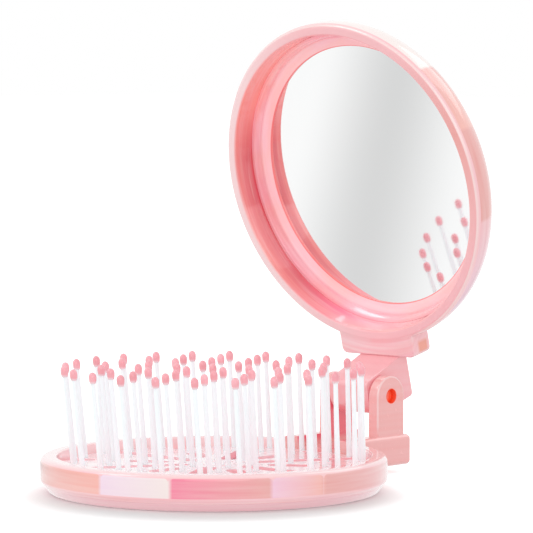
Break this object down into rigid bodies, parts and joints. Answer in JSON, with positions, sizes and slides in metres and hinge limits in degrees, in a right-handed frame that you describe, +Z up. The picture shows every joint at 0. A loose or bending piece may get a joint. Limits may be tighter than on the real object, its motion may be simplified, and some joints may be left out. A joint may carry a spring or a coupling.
{
  "type": "folding hairbrush with mirror",
  "caption": "Round compact hairbrush: ball-tipped pins on a disc base, and a round lid with a recessed mirror that swings on a hinge.",
  "frame": {"origin": "centre of the base's flat underside", "axes": "+Z up from the table, +Y from the base towards the hinge, hinge axis along X"},
  "size_m": [0.085, 0.111, 0.1149],
  "materials": {
    "base_pink": "glossy pearlescent pink plastic",
    "cover_pink": "glossy pale pink plastic",
    "bed_white": "glossy pale pink translucent plastic",
    "screw_steel": "bright zinc-plated steel",
    "hinge_pink": "glossy salmon pink plastic",
    "hinge_pin_coral": "coral plastic",
    "pin_nylon": "smooth white nylon",
    "tip_pink": "smooth pink resin",
    "lid_pink": "glossy pearlescent pink plastic",
    "pad_foam": "white adhesive foam",
    "mirror": "silvered glass",
    "retainer_pink": "glossy deep pink plastic",
    "arm_pink": "glossy pink plastic"
  },
  "bodies": {
    "base": {"base_pan": "base_pink", "base_cover": "cover_pink", "pin_bed": "bed_white", "bed_screws": "screw_steel", "hinge_bracket": "hinge_pink", "bracket_screws": "screw_steel", "hinge_pin": "hinge_pin_coral", "pins_ring_1": "pin_nylon", "pins_ring_2": "pin_nylon", "pins_ring_3": "pin_nylon", "pins_ring_4": "pin_nylon", "tips_ring_1": "tip_pink", "tips_ring_2": "tip_pink", "tips_ring_3": "tip_pink", "tips_ring_4": "tip_pink"},
    "lid": {"lid_shell": "lid_pink", "mirror_pad": "pad_foam", "mirror_glass": "mirror", "mirror_retainer": "retainer_pink", "hinge_arm": "arm_pink", "arm_screws": "screw_steel"}
  },
  "joints": [
    {"name": "lid_hinge", "type": "hinge", "parent": "base", "child": "lid", "pos_m": [0, 0.0542, 0.01978], "axis": [-1, 0, 0], "range_deg": [-76, 104]}
  ]
}
